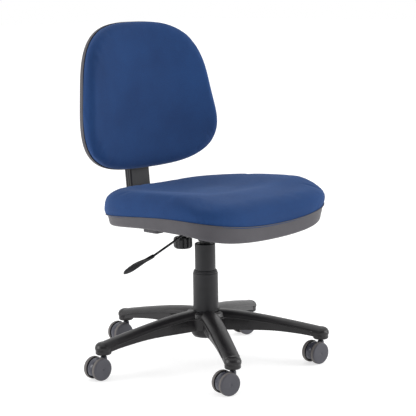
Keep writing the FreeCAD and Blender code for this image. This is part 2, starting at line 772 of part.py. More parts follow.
def upright_bar():
    """Bent flat steel bar: level under the seat, then up behind it."""
    corner = V(0, upright_y(BAR_HEIGHT), BAR_HEIGHT)
    top = upright_point(BAR_TOP_Z)
    level = V(0, -1, 0)
    rise = (top - corner).normalize()
    half_angle = level.getAngle(rise) / 2
    reach = BEND_RADIUS / math.tan(half_angle)
    faces = []
    for radius in (BEND_RADIUS - BAR_THICKNESS / 2, BEND_RADIUS + BAR_THICKNESS / 2):
        centre = corner + (level + rise).normalize() * (BEND_RADIUS / math.sin(half_angle))
        enter = corner + level * reach
        leave = corner + rise * reach
        first = centre + (enter - centre).normalize() * radius
        last = centre + (leave - centre).normalize() * radius
        middle = centre + (corner - centre).normalize() * radius
        begin = first + level * (enter.y - BAR_FRONT)
        end = last + rise * (top - leave).Length
        faces.append((begin, first, middle, last, end))
    inner, outer = faces
    edges = [
        Part.makeLine(inner[0], inner[1]),
        Part.Arc(inner[1], inner[2], inner[3]).toShape(),
        Part.makeLine(inner[3], inner[4]),
        Part.makeLine(inner[4], outer[4]),
        Part.makeLine(outer[4], outer[3]),
        Part.Arc(outer[3], outer[2], outer[1]).toShape(),
        Part.makeLine(outer[1], outer[0]),
        Part.makeLine(outer[0], inner[0]),
    ]
    side = Part.Face(Part.Wire(edges))
    return moved(side.extrude(V(BAR_WIDTH, 0, 0)), -BAR_WIDTH / 2)


def in_back_frame(shape):
    """Moves a shape from the backrest's own frame (X across, Y to the rear, Z up) to its place."""
    copy = shape.copy()
    copy.rotate(V(0, 0, 0), V(1, 0, 0), -RAKE)
    copy.translate(BACK_CENTRE)
    return copy


def back_height_of(z):
    """Distance up the backrest's own frame for a height on the upright."""
    return (z - BACK_CENTRE.z) / math.cos(math.radians(RAKE))


def upright_cover():
    """Black plastic sleeve over the upright, with grooved sides."""
    low = back_height_of(396)
    high = back_height_of(560)
    y = UPRIGHT_OFFSET
    outer = rounded(block((-35, y - 12.5, low), (35, y + 12.5, high)), 5, is_upright)
    for side in (-1, 1):
        for groove in (-4.5, 3.5):
            x = side * 35
            front = y + groove - 0.8
            outer = outer.cut(block((x - 1.2, front, low - 1), (x + 1.2, front + 1.6, high + 1)))
    hollow = block((-32, y - 9.8, low + 12), (32, y + 9.8, high + 1))
    half_x = BAR_WIDTH / 2 + SEATED
    half_y = BAR_THICKNESS / 2 + SEATED
    bar_slot = block((-half_x, y - half_y, low - 1), (half_x, y + half_y, high + 1))
    return in_back_frame(outer.cut(hollow).cut(bar_slot))


def ratchet_strip():
    """Notched strip on the front of the bar that the height pawl rides on."""
    y = UPRIGHT_OFFSET - BAR_THICKNESS / 2
    low = back_height_of(585)
    high = back_height_of(684)
    strip = block((-9, y - 3, low), (9, y - SEATED, high))
    for k in range(8):
        z = low + 8 + 11.5 * k
        strip = strip.cut(block((-10, y - 4, z), (10, y - 1.4, z + 4.5)))
    return in_back_frame(strip)


# ---------------------------------------------------------------- backrest
def back_outline(inset, y):
    """Outline of the backrest in its own frame: widest below the middle and narrower at the top."""
    points = []
    count = 56
    for i in range(count):
        angle = 2 * math.pi * i / count
        across, along = math.cos(angle), math.sin(angle)
        side_squareness = 2.87 if along > 0 else 2.92
        end_squareness = 3.14 if along > 0 else 2.87
        rise = math.copysign(abs(along) ** (2 / end_squareness), along)
        half = BACK_HALF_WIDTH * (1 - BACK_TAPER * rise + BACK_FLARE * rise * rise) - inset
        x = half * math.copysign(abs(across) ** (2 / side_squareness), across)
        points.append(V(x, y, (BACK_HALF_HEIGHT - inset) * rise))
    return closed_curve(points)


def back_slab(front, rear, inset):
    """A curved slab with the backrest's outline, between two depths."""
    prism = Part.Face(back_outline(inset, -120)).extrude(V(0, 200, 0))
    axis = V(0, -BACK_CURVE_RADIUS, -300)
    outside = Part.makeCylinder(BACK_CURVE_RADIUS + rear, 600, axis)
    inside = Part.makeCylinder(BACK_CURVE_RADIUS + front, 600, axis)
    return prism.common(outside.cut(inside))


def on_radius(depth):
    """Picks the edges that lie at one depth of the curved backrest."""
    def test(edge):
        for share in (0.2, 0.5, 0.8):
            first, last = edge.ParameterRange
            point = edge.valueAt(first + (last - first) * share)
            if abs(math.hypot(point.x, point.y + BACK_CURVE_RADIUS) - BACK_CURVE_RADIUS - depth) > 0.5:
                return False
        return True
    return test


def back_shell():
    """Rear shell of the backrest, with a hollow hump that the upright runs up inside."""
    outer = rounded(back_slab(TRIM_FRONT, TRIM_REAR, -2), 7, on_radius(TRIM_REAR))
    hump = hump_block(41, 33, 70, 6)
    hollow = hump_block(38, 30, 10, 2)
    cavity = back_slab(TRIM_FRONT - 5, TRIM_REAR - SHELL_WALL, SHELL_WALL - 1)
    return in_back_frame(fuse_all([outer, hump]).cut(cavity).cut(hollow))


def hump_block(half_width, depth, top, corner):
    """Tapered block behind the backrest, from its lower edge up to a sloping top."""
    levels = [
        (3 - BACK_HALF_HEIGHT, half_width, depth),
        (0, half_width - 3, depth - 3),
        (top, half_width - 12, TRIM_REAR - 4),
    ]
    sections = []
    for height, half, reach in levels:
        outline = [
            V(-half, HUMP_FRONT, height), V(half, HUMP_FRONT, height), V(half, reach - corner, height),
            V(half - corner, reach, height), V(-half + corner, reach, height),
            V(-half, reach - corner, height)
        ]
        sections.append(Part.makePolygon(outline + outline[:1]))
    return Part.makeLoft(sections, True, True)


def back_board():
    """Curved plywood board that carries the back cushion and the height guide."""
    board = back_slab(TRIM_FRONT + 0.3, TRIM_FRONT + 9.3, 9)
    for x, z in back_screw_places():
        board = board.cut(Part.makeCylinder(BACK_SCREW_RADIUS + SEATED, 40, V(x, -30, z), V(0, 1, 0)))
    return in_back_frame(board)


def back_screw_places():
    """The four screws between the height guide and the board."""
    return [(sx * 23.0, GUIDE_MIDDLE + sz * 21.0) for sx in (-1, 1) for sz in (-1, 1)]


def back_screws():
    """Screws that hold the height guide to the board."""
    screws = []
    for x, z in back_screw_places():
        screws.append(Part.makeCylinder(BACK_SCREW_RADIUS, 20, V(x, -14.2, z), V(0, 1, 0)))
    return in_back_frame(Part.makeCompound(screws))


def height_guide():
    """Guide block on the back board that slides up and down the upright."""
    low = GUIDE_MIDDLE - 30
    high = GUIDE_MIDDLE + 30
    y = UPRIGHT_OFFSET
    guide = rounded(block((-31, y - 10.5, low), (31, y + 9, high)), 4, is_upright)
    for x, z in back_screw_places():
        guide = guide.fuse(Part.makeCylinder(5.5, 12, V(x, -5.2, z), V(0, 1, 0)))
    slot_half = BAR_WIDTH / 2 + GAP
    guide = guide.cut(block((-slot_half, y - 4 - GAP, low - 1), (slot_half, y + 4 + GAP, high + 1)))
    guide = guide.cut(block((-10, y - 8, low - 1), (10, y, high + 1)))
    guide = guide.cut(block((-8 - SEATED, y - 12, GUIDE_MIDDLE - 9), (8 + SEATED, y - 7, GUIDE_MIDDLE + 9)))
    for x, z in back_screw_places():
        guide = guide.cut(Part.makeCylinder(BACK_SCREW_RADIUS + SEATED, 15, V(x, -8, z), V(0, 1, 0)))
    return in_back_frame(guide)


def height_pawl():
    """Spring pawl in the guide that clicks along the notched strip."""
    y = UPRIGHT_OFFSET - BAR_THICKNESS / 2 - 3 - GAP
    plate = block((-8, y - 3, GUIDE_MIDDLE - 8.5), (8, y - 1, GUIDE_MIDDLE + 8.5))
    nose = block((-7, y - 2, GUIDE_MIDDLE - 2), (7, y, GUIDE_MIDDLE + 2))
    return in_back_frame(fuse_all([plate, nose]))


def back_cushion():
    """Foam and fabric of the backrest."""
    cushion = back_slab(BACK_CUSHION_FRONT, TRIM_FRONT, 0)
    cushion = rounded(cushion, 16, on_radius(BACK_CUSHION_FRONT))
    return in_back_frame(cushion)


# ---------------------------------------------------------------- castors
def placed_castor(shape, k):
    """Puts a castor piece under arm k, trailing in its own direction."""
    x, y = stem_place(k)
    return moved(turned(shape, TRAIL_ANGLES[k]), x, y)


def wheel_disc(radius, low, high):
    """A cylinder on the wheels' axis, between two distances from the castor's middle."""
    return Part.makeCylinder(radius, high - low, V(WHEEL_TRAIL, low, WHEEL_RADIUS), V(0, 1, 0))


def castor_hood():
    """Yoke of a castor: a hood between the wheels, open at the bottom, with stem and axle bosses."""
    half = HOOD_HALF_WIDTH
    hood = wheel_disc(HOOD_RADIUS, -half, half).cut(wheel_disc(HOOD_RADIUS - 3.2, -half - 1, half + 1))
    front = WHEEL_TRAIL - 40
    rear = WHEEL_TRAIL + 40
    hood = hood.cut(block((front, -20, -5), (rear, 20, WHEEL_RADIUS - 15)))
    hood = hood.cut(block((front, -20, -5), (WHEEL_TRAIL - 20, 20, WHEEL_RADIUS + 9)))
    web = wheel_disc(HOOD_RADIUS - 1, -2.5, 2.5)
    web = web.cut(block((front, -20, -5), (rear, 20, WHEEL_RADIUS - 12)))
    axle_boss = wheel_disc(7.5, -half, half)
    top = STEM_BOSS_TOP
    stem_boss = revolve_profile([(0, 33), (8.5, 33), (8.5, top - 1.5), (7.5, top), (0, top)])
    yoke = fuse_all([hood, web, axle_boss, stem_boss])
    yoke = yoke.cut(solid_cylinder(STEM_RADIUS + SEATED, 38, top + 4))
    return yoke.cut(wheel_disc(AXLE_RADIUS + SEATED, -half - 1, half + 1))


def castor_pins():
    """Stem and axle of a castor."""
    socket = SOCKET_BOTTOM - DATUM_DEPTH
    collar = STEM_BOSS_TOP + 0.4
    stem = revolve_profile([
        (0, 38.1), (STEM_RADIUS, 38.1), (STEM_RADIUS, collar), (6.3, collar), (6.3, socket - 1),
        (STEM_RADIUS, socket - 1), (STEM_RADIUS, socket + 19.5), (4.5, socket + 21), (0, socket + 21)
    ])
    return Part.makeCompound([stem, wheel_disc(AXLE_RADIUS, -19, 19)])


def castor_wheel(side):
    """One wheel: face disc, rim and hub, open toward the hood."""
    inner, outer, radius = WHEEL_INNER, WHEEL_OUTER, WHEEL_RADIUS
    bore = AXLE_RADIUS + FIT
    wheel = revolve_profile([
        (bore, inner - 0.4), (7.5, inner - 0.4), (7.5, outer - 3), (radius - 4, outer - 3),
        (radius - 4, inner), (radius - 0.8, inner), (radius, inner + 0.8), (radius, outer - 1.6),
        (radius - 2.2, outer - 0.3), (radius - 3.2, outer - 0.3), (radius - 3.8, outer), (0, outer),
        (0, outer - 2.6), (bore, outer - 2.6)
    ])
    wheel = turned(wheel, -90, V(1, 0, 0))
    if side < 0:
        wheel = turned(wheel, 180)
    return moved(wheel, WHEEL_TRAIL, 0, WHEEL_RADIUS)


# ---------------------------------------------------------------- export
SINGLE_NODES = (
    base_star, hub_sleeve, castor_sleeves, column_tube, guide_bush, lower_cover, cover_ring,
    retaining_clip, piston_rod, piston, thrust_bearing,
    gas_cylinder, upper_cover, mechanism_housing, lever_pin, tilt_pin, tilt_springs,
    seat_shell, seat_board, seat_tee_nuts, seat_bolts, arm_inserts, seat_cushion,
    release_pin, lever_rod, lever_hub, lever_paddle,
    back_carrier, knob_grip, knob_screw, upright_bar, upright_cover, ratchet_strip,
    back_shell, back_board, back_screws, height_guide, height_pawl, back_cushion,
)


def export(name, shape):
    """Writes one node and warns if its solid is faulty."""
    if not shape.isValid() or not shape.Solids:
        print("check", name, "valid", shape.isValid(), "solids", len(shape.Solids))
    shape.exportStep(f"parts/{name}.step")


def main():
    """Builds every node."""
    os.makedirs("parts", exist_ok=True)
    for build in SINGLE_NODES:
        export(build.__name__, moved(build(), z=-DATUM_DEPTH))
    for k in range(ARM_COUNT):
        label = f"castor_{k + 1}"
        export(f"{label}_hood", placed_castor(castor_hood(), k))
        export(f"{label}_pins", placed_castor(castor_pins(), k))
        export(f"{label}_wheel_a", placed_castor(castor_wheel(1), k))
        export(f"{label}_wheel_b", placed_castor(castor_wheel(-1), k))


main()
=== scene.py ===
import json
import math
import random

import bpy
import numpy as np
from mathutils import Matrix, Vector


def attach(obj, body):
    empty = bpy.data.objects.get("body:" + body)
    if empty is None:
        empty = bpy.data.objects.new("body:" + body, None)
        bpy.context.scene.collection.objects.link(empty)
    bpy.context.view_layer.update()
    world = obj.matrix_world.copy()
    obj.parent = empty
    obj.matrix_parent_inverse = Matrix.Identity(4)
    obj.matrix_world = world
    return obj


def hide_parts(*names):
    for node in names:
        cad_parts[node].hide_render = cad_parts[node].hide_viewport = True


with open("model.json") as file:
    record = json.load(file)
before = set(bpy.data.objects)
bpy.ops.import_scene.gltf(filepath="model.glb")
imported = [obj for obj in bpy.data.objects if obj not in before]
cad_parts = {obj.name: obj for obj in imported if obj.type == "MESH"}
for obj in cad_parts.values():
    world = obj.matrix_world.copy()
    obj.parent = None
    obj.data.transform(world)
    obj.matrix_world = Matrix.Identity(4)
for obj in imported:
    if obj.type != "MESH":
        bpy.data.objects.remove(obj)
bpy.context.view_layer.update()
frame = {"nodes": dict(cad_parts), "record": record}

MM = 0.001
SEED = 7

# ---------------------------------------------------------------- sizes shared with the CAD frame, in metres
FLOOR_BELOW_DATUM = 13 * MM
SEAT_HALF_WIDTH = 246 * MM
SEAT_FRONT = -255 * MM
SEAT_REAR = 199 * MM
FRONT_SQUARENESS = 4.6
REAR_SQUARENESS = 3.3
SEAM_HEIGHT = 405.8 * MM - FLOOR_BELOW_DATUM
RIM_HEIGHT = 467 * MM - FLOOR_BELOW_DATUM
DISH_DEPTH = 13 * MM
BACK_CENTRE = Vector((0, 259.6 * MM, 694.8 * MM - FLOOR_BELOW_DATUM))
BACK_RAKE = math.radians(5.5)
BACK_CURVE = 710 * MM
BACK_HALF_WIDTH = 220 * MM
BACK_HALF_HEIGHT = 192.5 * MM
BACK_TAPER = 0.153
BACK_FLARE = 0.055
WHEEL_RADIUS = 28.5 * MM
WHEEL_TRAIL = 20 * MM
HOOD_RADIUS = 27.2 * MM
STEM_CIRCLE = 298 * MM
ARM_COUNT = 5
ARM_SPACING = 72
FIRST_ARM_ANGLE = 21.15
TRAIL_ANGLES = (173.0, 173.0, 179.0, 167.0, 175.0)

# ---------------------------------------------------------------- camera and light: metres, degrees, watts
CAMERA_PLACE = (-2.327, -2.340, 0.953)
CAMERA_PITCH = 9.4646
CAMERA_ROLL = -0.861
LENS_MM = 112.45
SENSOR_MM = 36
CLIP_END = 50
DARK_DIRECTION = (-0.7, -0.7, 0.14)
DARK_STRENGTH = 0.3
FALLOFF_START = -0.1
FALLOFF_END = 0.95
FLOOR_SIZE = 60
FLOOR_SINK = 0.0005
FLOOR_TONE = 0.55
FLOOR_GLOW = 0.62
LIGHT_TARGET = (0, 0, 0.5)
SOFT_BOXES = (("left_box", (-2.7, 1.4, 1.3), 46), ("right_box", (1.9, -2.4, 1.5), 50))
SOFT_BOX_SIZE = 1.5
OVERHEAD_STRENGTH = 0.75
OVERHEAD_SPREAD = 70


# ---------------------------------------------------------------- camera, floor and light
def place_camera():
    """Camera at the photograph's viewing angle."""
    data = bpy.data.cameras.new("camera")
    data.sensor_width = SENSOR_MM
    data.lens = LENS_MM
    camera = bpy.data.objects.new("camera", data)
    bpy.context.scene.collection.objects.link(camera)
    pitch = math.radians(CAMERA_PITCH)
    level = math.sqrt(0.5) * math.cos(pitch)
    forward = Vector((level, level, -math.sin(pitch)))
    turn = forward.to_track_quat("-Z", "Y").to_matrix().to_4x4()
    roll = Matrix.Rotation(math.radians(CAMERA_ROLL), 4, "Z")
    camera.matrix_world = Matrix.Translation(CAMERA_PLACE) @ turn @ roll
    data.clip_end = CLIP_END
    bpy.context.scene.camera = camera


def area_light(name, place, target, size, power):
    """A square soft light aimed at a point."""
    data = bpy.data.lights.new(name, "AREA")
    data.size = size
    data.energy = power
    light = bpy.data.objects.new(name, data)
    light.location = place
    light.rotation_euler = (Vector(target) - Vector(place)).to_track_quat("-Z", "Y").to_euler()
    bpy.context.scene.collection.objects.link(light)


def build_surroundings():
    """White surroundings that fall off to grey on the side the camera stands."""
    world = bpy.data.worlds.new("studio")
    world.use_nodes = True
    tree = world.node_tree
    direction = tree.nodes.new("ShaderNodeTexCoord").outputs["Generated"]
    facing = tree.nodes.new("ShaderNodeVectorMath")
    facing.operation = "DOT_PRODUCT"
    tree.links.new(direction, facing.inputs[0])
    facing.inputs[1].default_value = DARK_DIRECTION
    falloff = tree.nodes.new("ShaderNodeMapRange")
    falloff.interpolation_type = "SMOOTHSTEP"
    tree.links.new(facing.outputs["Value"], falloff.inputs["Value"])
    falloff.inputs["From Min"].default_value = FALLOFF_START
    falloff.inputs["From Max"].default_value = FALLOFF_END
    falloff.inputs["To Min"].default_value = 1.0
    falloff.inputs["To Max"].default_value = DARK_STRENGTH
    tree.links.new(falloff.outputs["Result"], tree.nodes["Background"].inputs["Strength"])
    tree.nodes["Background"].inputs["Color"].default_value = (1, 1, 1, 1)
    bpy.context.scene.world = world


def build_studio():
    """Pale, partly self-lit floor, white surroundings, two soft boxes and a broad light from above."""
    bpy.context.scene.view_settings.view_transform = "Standard"
    build_surroundings()
    bpy.ops.mesh.primitive_plane_add(size=FLOOR_SIZE, location=(0, 0, -FLOOR_SINK))
    floor = bpy.context.object
    floor.name = "floor"
    material, shader = new_material("floor_white")
    shader.inputs["Base Color"].default_value = (FLOOR_TONE, FLOOR_TONE, FLOOR_TONE, 1)
    shader.inputs["Emission Color"].default_value = (1, 1, 1, 1)
    shader.inputs["Emission Strength"].default_value = FLOOR_GLOW
    shader.inputs["Roughness"].default_value = 0.95
    shader.inputs["Specular IOR Level"].default_value = 0.1
    floor.data.materials.append(material)
    for name, place, power in SOFT_BOXES:
        area_light(name, place, LIGHT_TARGET, SOFT_BOX_SIZE, power)
    data = bpy.data.lights.new("overhead", "SUN")
    data.energy = OVERHEAD_STRENGTH
    data.angle = math.radians(OVERHEAD_SPREAD)
    overhead = bpy.data.objects.new("overhead", data)
    overhead.rotation_euler = (math.radians(-8), math.radians(6), 0)
    bpy.context.scene.collection.objects.link(overhead)


# ---------------------------------------------------------------- materials
def new_material(name):
    """A node material and its main shader."""
    material = bpy.data.materials.new(name)
    material.use_nodes = True
    return material, material.node_tree.nodes["Principled BSDF"]


def srgb(red, green, blue):
    """Linear colour from screen values of 0 to 255."""
    def linear(value):
        value = value / 255
        return value / 12.92 if value <= 0.04045 else ((value + 0.055) / 1.055) ** 2.4
    return (linear(red), linear(green), linear(blue), 1)


class Nodes:
    """Short calls for building a node tree."""

    def __init__(self, material):
        self.tree = material.node_tree

    def add(self, kind, **inputs):
        node = self.tree.nodes.new(kind)
        for key, value in inputs.items():
            if key in node.inputs:
                node.inputs[key].default_value = value
            else:
                setattr(node, key, value)
        return node

    def link(self, source, target):
        self.tree.links.new(source, target)

    def place(self):
        return self.add("ShaderNodeTexCoord").outputs["Object"]

    def noise(self, vector, scale, detail=2.0, roughness=0.5):
        node = self.add("ShaderNodeTexNoise", Scale=scale, Detail=detail, Roughness=roughness)
        self.link(vector, node.inputs["Vector"])
        return node.outputs["Fac"]

    def mix(self, factor, first, second):
        node = self.add("ShaderNodeMix", data_type="RGBA")
        self.link(factor, node.inputs["Factor"])
        node.inputs["A"].default_value = first
        node.inputs["B"].default_value = second
        return node.outputs["Result"]

    def range(self, value, low, high, to_low, to_high):
        node = self.add("ShaderNodeMapRange")
        self.link(value, node.inputs["Value"])
        node.inputs["From Min"].default_value = low
        node.inputs["From Max"].default_value = high
        node.inputs["To Min"].default_value = to_low
        node.inputs["To Max"].default_value = to_high
        return node.outputs["Result"]

    def bump(self, height, strength, distance):
        node = self.add("ShaderNodeBump", Strength=strength, Distance=distance)
        self.link(height, node.inputs["Height"])
        return node.outputs["Normal"]

    def math(self, operation, first, second):
        node = self.add("ShaderNodeMath", operation=operation)
        for socket, value in zip(node.inputs, (first, second)):
            if isinstance(value, (int, float)):
                socket.default_value = value
            else:
                self.link(value, socket)
        return node.outputs["Value"]


def moulded_plastic(name, colour, lighter, roughness, grain_scale=900.0, grain=0.25, scuff=0.04):
    """Moulded plastic: fine spark-eroded grain, slight colour drift, uneven gloss."""
    material, shader = new_material(name)
    nodes = Nodes(material)
    place = nodes.place()
    drift = nodes.noise(place, 14, 3)
    nodes.link(nodes.mix(nodes.range(drift, 0.35, 0.7, 0, 1), colour, lighter), shader.inputs["Base Color"])
    gloss = nodes.noise(place, 60, 4, 0.6)
    nodes.link(nodes.range(gloss, 0.3, 0.7, roughness - scuff, roughness + scuff), shader.inputs["Roughness"])
    fine = nodes.noise(place, grain_scale, 2, 0.6)
    nodes.link(nodes.bump(fine, grain, 0.0004), shader.inputs["Normal"])
    shader.inputs["Specular IOR Level"].default_value = 0.38
    return material


def blue_cloth():
    """Closely woven blue upholstery cloth with a faint crepe texture."""
    material, shader = new_material("blue_cloth")
    nodes = Nodes(material)
    place = nodes.place()
    crepe = nodes.noise(place, 620, 3, 0.62)
    cloudy = nodes.noise(place, 9, 3)
    thread = nodes.add("ShaderNodeTexVoronoi", Scale=950.0, feature="F1")
    nodes.link(place, thread.inputs["Vector"])
    dark = srgb(17, 46, 89)
    light = srgb(28, 63, 113)
    woven = nodes.math("ADD", nodes.math("MULTIPLY", crepe, 0.65), nodes.math("MULTIPLY", cloudy, 0.35))
    nodes.link(nodes.mix(nodes.range(woven, 0.35, 0.65, 0, 1), dark, light), shader.inputs["Base Color"])
    height = nodes.math("ADD", crepe, nodes.math("MULTIPLY", thread.outputs["Distance"], 0.8))
    nodes.link(nodes.bump(height, 0.35, 0.0006), shader.inputs["Normal"])
    nodes.link(nodes.range(crepe, 0.3, 0.7, 0.78, 0.92), shader.inputs["Roughness"])
    shader.inputs["Sheen Weight"].default_value = 0.18
    shader.inputs["Sheen Roughness"].default_value = 0.45
    shader.inputs["Sheen Tint"].default_value = srgb(120, 150, 200)
    shader.inputs["Specular IOR Level"].default_value = 0.25
    return material


def metal(name, colour, roughness, brushed=0.08):
    """Steel with fine drawn lines and uneven gloss."""
    material, shader = new_material(name)
    nodes = Nodes(material)
    place = nodes.place()
    lines = nodes.noise(place, 300, 3)
    uneven = nodes.range(lines, 0.3, 0.7, roughness - brushed, roughness + brushed)
    nodes.link(uneven, shader.inputs["Roughness"])
    tone = tuple(c * 0.85 for c in colour[:3]) + (1,)
    nodes.link(nodes.mix(nodes.noise(place, 45, 2), tone, colour), shader.inputs["Base Color"])
    nodes.link(nodes.bump(lines, 0.06, 0.0002), shader.inputs["Normal"])
    shader.inputs["Metallic"].default_value = 1.0
    return material


def plywood():
    """Beech plywood with grain and pressed layers."""
    material, shader = new_material("plywood")
    nodes = Nodes(material)
    place = nodes.place()
    stretch = nodes.add("ShaderNodeMapping", Scale=(6, 90, 500))
    nodes.link(place, stretch.inputs["Vector"])
    grain = nodes.noise(stretch.outputs["Vector"], 1.0, 4)
    tone = nodes.mix(nodes.range(grain, 0.3, 0.7, 0, 1), srgb(176, 132, 88), srgb(214, 176, 128))
    nodes.link(tone, shader.inputs["Base Color"])
    nodes.link(nodes.bump(grain, 0.2, 0.0005), shader.inputs["Normal"])
    shader.inputs["Roughness"].default_value = 0.7
    return material


def make_materials():
    """One material for each of the record's slots, and a few for the detailed pieces."""
    return {
        "blue_fabric": blue_cloth(),
        "grey_shell": moulded_plastic("grey_shell", srgb(65, 63, 68), srgb(72, 70, 75), 0.5, 700, 0.35),
        "black_base": moulded_plastic("black_base", srgb(22, 21, 23), srgb(33, 31, 33), 0.36, 800, 0.35),
        "black_cover": moulded_plastic("black_cover", srgb(19, 19, 22), srgb(25, 25, 29), 0.44, 900, 0.25),
        "hood_plastic": moulded_plastic("hood_plastic", srgb(56, 57, 67), srgb(64, 65, 75), 0.22, 500, 0.06),
        "wheel_plastic": moulded_plastic("wheel_plastic", srgb(70, 70, 77), srgb(79, 78, 84), 0.5, 900, 0.2),
        "tread": moulded_plastic("tread", srgb(92, 88, 87), srgb(104, 100, 98), 0.62, 900, 0.3),
        "black_knob": moulded_plastic("black_knob", srgb(24, 24, 27), srgb(30, 30, 33), 0.35, 900, 0.2),
        "black_steel": moulded_plastic("black_steel", srgb(30, 30, 33), srgb(36, 36, 39), 0.38, 1200, 0.15),
        "bright_steel": metal("bright_steel", srgb(190, 190, 192), 0.32),
        "polished_steel": metal("polished_steel", srgb(205, 206, 210), 0.14, 0.05),
        "white_acetal": moulded_plastic("white_acetal", srgb(214, 212, 204), srgb(224, 222, 214), 0.45),
        "plywood": plywood(),
    }


def dress_cad(materials):
    """Gives every CAD node the material of its slot."""
    for entry in frame["record"]["subparts"]:
        node = frame["nodes"][entry["node"]]
        material = materials[entry["material_slot"]]
        if entry["node"].endswith("_pins") or entry["node"] == "gas_cylinder":
            material = materials["black_steel"]
        if node.material_slots:
            for slot in node.material_slots:
                slot.material = material
        else:
            node.data.materials.append(material)


# ---------------------------------------------------------------- mesh helpers
def mesh_object(name, points, faces, material):
    """An object from points and faces."""
    mesh = bpy.data.meshes.new(name)
    mesh.from_pydata([tuple(p) for p in points], [], [tuple(f) for f in faces])
    mesh.validate()
    mesh.update()
    obj = bpy.data.objects.new(name, mesh)
    bpy.context.scene.collection.objects.link(obj)
    mesh.materials.append(material)
    mesh.shade_smooth()
    return obj


def band(first, second, count, flip=False):
    """Faces between two closed rings of points, given by the index each ring starts at."""
    faces = []
    for i in range(count):
        j = (i + 1) % count
        if flip:
            faces.append((first + i, second + i, second + j, first + j))
        else:
            faces.append((first + i, first + j, second + j, second + i))
    return faces


def bands(rows, count, flip=False):
    """Faces between each ring of points and the next."""
    faces = []
    for k in range(rows - 1):
        faces += band(k * count, (k + 1) * count, count, flip)
    return faces


def append_part(points, faces, part):
    """Adds another part's points and faces to a mesh being built."""
    extra, extra_faces = part
    offset = len(points)
    points.extend(extra)
    faces.extend(tuple(index + offset for index in face) for face in extra_faces)


def ring_mesh(rings, closed=True):
    """Points and faces of a surface through rings of equal length; closed ends meet at the rings' middles."""
    count = len(rings[0])
    points = [tuple(p) for ring in rings for p in ring]
    faces = bands(len(rings), count)
    if closed:
        start = (len(rings) - 1) * count
        points.append(tuple(np.mean(rings[0], axis=0)))
        centre = len(points) - 1
        faces += [(centre, (i + 1) % count, i) for i in range(count)]
        points.append(tuple(np.mean(rings[-1], axis=0)))
        centre = len(points) - 1
        faces += [(centre, start + i, start + (i + 1) % count) for i in range(count)]
    return points, faces


def ease(value):
    """Runs smoothly from 0 to 1."""
    value = np.clip(value, 0, 1)
    return value * value * (3 - 2 * value)


def signed_power(value, power):
    """A power that keeps the sign."""
    return np.sign(value) * np.abs(value) ** power


# ---------------------------------------------------------------- seat cushion: heights, insets in mm
AROUND = np.linspace(0, 2 * math.pi, 320, endpoint=False)
SAG_FRONT = 4.63e-4
SAG_LOSS = 3.23e-4
SAG_START = 167
SAG_RUN = 360
RIM_SIDE_RISE = 5
RIM_SIDE_REACH = 200
RIM_FRONT_RISE = 13
RIM_RISE_START = 150
RIM_RISE_RUN = 260
WATERFALL_DROP = 16
WATERFALL_START = -120
WATERFALL_RUN = 110
UNDERSIDE_DEPTH = 6
UNDERSIDE_INSET = 30
UNDERSIDE_SCALES = (0.25, 0.6)
UNDERSIDE_TUCK = ((30, 6), (14, 6), (6, 5), (3.2, 3), (1.6, 0.8))
TOP_INSET = 45
TOP_SCALES = np.linspace(0.95, 0.05, 20)
DISH_EASE = 0.72
PUCKER_CORNERS = (-2.36, -0.78)
PUCKER_CORNER_WIDTH = 0.3
PUCKER_ELSEWHERE = 0.25
PUCKER_HEIGHT = 7
PUCKER_SPREAD = 9
PUCKER_DEPTH = 0.9
PUCKER_WAVES = 7
PUCKER_RATES = (38, 90)
PUCKER_PHASES = (0, 6.28)
PUCKER_WEIGHTS = (0.5, 1)
PUCKER_TIGHTNESS = 2.2
LUMP_DEPTH = 0.35
LUMP_HEIGHT = 30
LUMP_RATE_X = 31
LUMP_RATE_Y = 27
LUMP_SHIFT_X = 1.3
LUMP_SHIFT_Y = 0.4


def seat_ring(inset):
    """Plan of the seat's outline, moved inward, as (x, y)."""
    across, along = np.cos(AROUND), np.sin(AROUND)
    power = 2 / np.where(along < 0, FRONT_SQUARENESS, REAR_SQUARENESS)
    middle = (SEAT_FRONT + SEAT_REAR) / 2
    half_length = (SEAT_REAR - SEAT_FRONT) / 2
    x = (SEAT_HALF_WIDTH - inset) * signed_power(across, power)
    y = middle + (half_length - inset) * signed_power(along, power)
    return x, y


def seat_seam(x, y):
    """Height of the seam between cushion and shell."""
    sag = SAG_FRONT - SAG_LOSS * ease((y / MM + SAG_START) / SAG_RUN)
    return SEAM_HEIGHT + sag * (x / MM) ** 2 * MM


def seat_rim(x, y):
    """Height of the cushion's raised rim: lowest at the rear middle, and falling away again at the front."""
    sides = RIM_SIDE_RISE * MM * (x / (RIM_SIDE_REACH * MM)) ** 2
    waterfall = WATERFALL_DROP * MM * ease((WATERFALL_START - y / MM) / WATERFALL_RUN)
    rise = RIM_FRONT_RISE * MM * ease((RIM_RISE_START - y / MM) / RIM_RISE_RUN)
    return RIM_HEIGHT + rise + sides - waterfall


SEAT_WALL = (
    (1.2, 0.01), (0.2, 0.03), (-0.6, 0.065), (-1.6, 0.125), (-2.8, 0.215), (-3.4, 0.31), (-3.5, 0.395),
    (-3, 0.5), (-1.2, 0.63), (2, 0.745), (7, 0.84), (14, 0.915), (22, 0.965), (33, 0.99), (45, 1.0),
)


